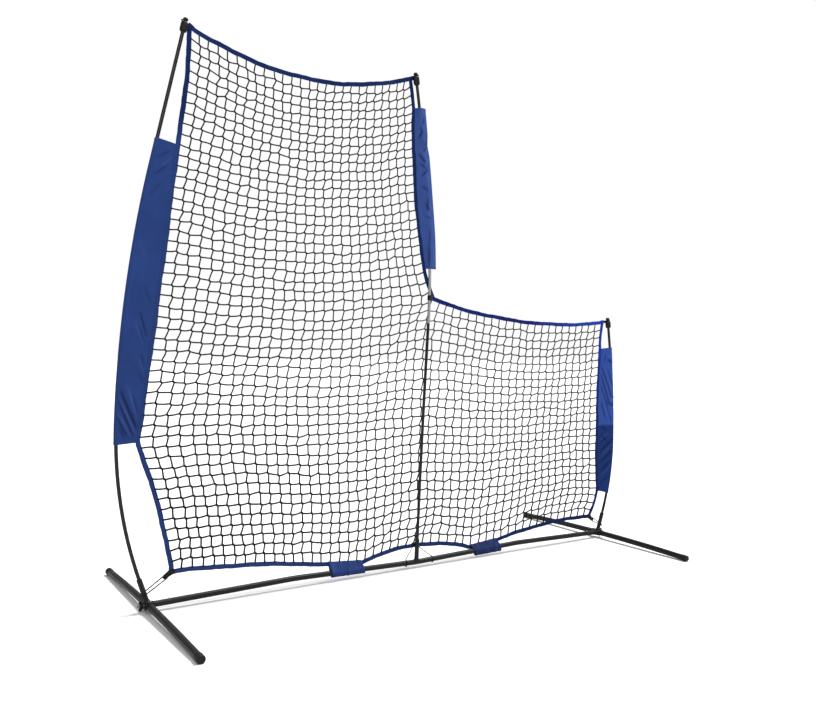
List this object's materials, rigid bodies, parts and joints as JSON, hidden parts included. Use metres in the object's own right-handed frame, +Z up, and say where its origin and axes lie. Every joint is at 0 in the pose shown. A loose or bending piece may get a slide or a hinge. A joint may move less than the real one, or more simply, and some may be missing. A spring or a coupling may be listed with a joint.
{
  "type": "netting screen",
  "caption": "Free-standing L-shaped netting screen: bent poles in a tube base with cross feet, fabric sleeves, bound net and elastic corner ties.",
  "frame": {"origin": "on the ground under the middle of the whole width and depth", "axes": "+X along the rail towards the low side, +Y from front to back, +Z up"},
  "size_m": [2.4899, 1.113, 2.1361],
  "materials": {
    "tube_steel": "black powder coat, low sheen",
    "bracket_steel": "black powder coat over welds",
    "cap_plastic": "black moulded plastic",
    "zinc_steel": "zinc plated",
    "nut_steel": "black coated",
    "spring_steel": "plain sprung steel",
    "pole_fibre": "black fibreglass, satin",
    "ferrule_metal": "pale drawn metal",
    "net_twine": "black knotless twine",
    "binding_cloth": "royal blue woven tape",
    "sleeve_cloth": "royal blue coated woven cloth",
    "strap_cloth": "royal blue coated woven cloth",
    "elastic_cord": "black braided elastic",
    "black_webbing": "black woven webbing"
  },
  "bodies": {
    "frame": {"foot_tube_left": "tube_steel", "foot_tube_right": "tube_steel", "foot_caps_left": "cap_plastic", "foot_caps_right": "cap_plastic", "corner_bracket_left": "bracket_steel", "corner_bracket_right": "bracket_steel", "bracket_stud_left": "zinc_steel", "bracket_stud_right": "zinc_steel", "stud_washer_left": "zinc_steel", "stud_washer_right": "zinc_steel", "centre_tee": "bracket_steel", "rail_left": "tube_steel", "rail_right": "tube_steel", "button_spring_left": "spring_steel", "button_spring_right": "spring_steel", "pole_left_lower": "pole_fibre", "pole_left_upper": "pole_fibre", "ferrule_left": "ferrule_metal", "pole_middle_lower": "pole_fibre", "pole_middle_upper": "pole_fibre", "ferrule_middle": "ferrule_metal", "pole_right": "pole_fibre", "pole_cap_left": "cap_plastic", "pole_cap_middle": "cap_plastic", "pole_cap_right": "cap_plastic", "net_tall_panel": "net_twine", "net_low_panel": "net_twine", "binding_left": "binding_cloth", "binding_top_tall": "binding_cloth", "binding_middle": "binding_cloth", "binding_top_low": "binding_cloth", "binding_right": "binding_cloth", "binding_bottom": "binding_cloth", "sleeve_left": "sleeve_cloth", "sleeve_middle": "sleeve_cloth", "sleeve_right": "sleeve_cloth", "rail_strap_left": "strap_cloth", "rail_strap_right": "strap_cloth", "corner_loop_left": "black_webbing", "corner_loop_middle": "black_webbing", "corner_loop_right": "black_webbing", "inner_corner_strap": "black_webbing", "corner_tab_left": "black_webbing", "corner_tab_right": "black_webbing", "corner_cord_left": "elastic_cord", "corner_cord_right": "elastic_cord", "base_tab_middle": "black_webbing", "base_cord_middle": "elastic_cord"},
    "wing_nut_left": {"wing_nut_left": "nut_steel"},
    "wing_nut_right": {"wing_nut_right": "nut_steel"},
    "snap_button_left": {"snap_button_left": "spring_steel"},
    "snap_button_right": {"snap_button_right": "spring_steel"}
  },
  "joints": [
    {"name": "wing_nut_left_spin", "type": "hinge", "parent": "frame", "child": "wing_nut_left", "pos_m": [-1.142, 0, 0.02555], "axis": [-1, 0, 0], "continuous": true},
    {"name": "snap_button_left_press", "type": "slide", "parent": "frame", "child": "snap_button_left", "axis": [-0.0211, 0, 0.9998], "range_m": [-0.0032, 0], "stiffness_N_per_m": 800, "deforming": ["button_spring_left"]},
    {"name": "wing_nut_right_spin", "type": "hinge", "parent": "frame", "child": "wing_nut_right", "pos_m": [1.168, 0, 0.02555], "axis": [1, 0, 0], "continuous": true},
    {"name": "snap_button_right_press", "type": "slide", "parent": "frame", "child": "snap_button_right", "axis": [0.0222, 0, 0.9998], "range_m": [-0.0032, 0], "stiffness_N_per_m": 800, "deforming": ["button_spring_right"]}
  ]
}
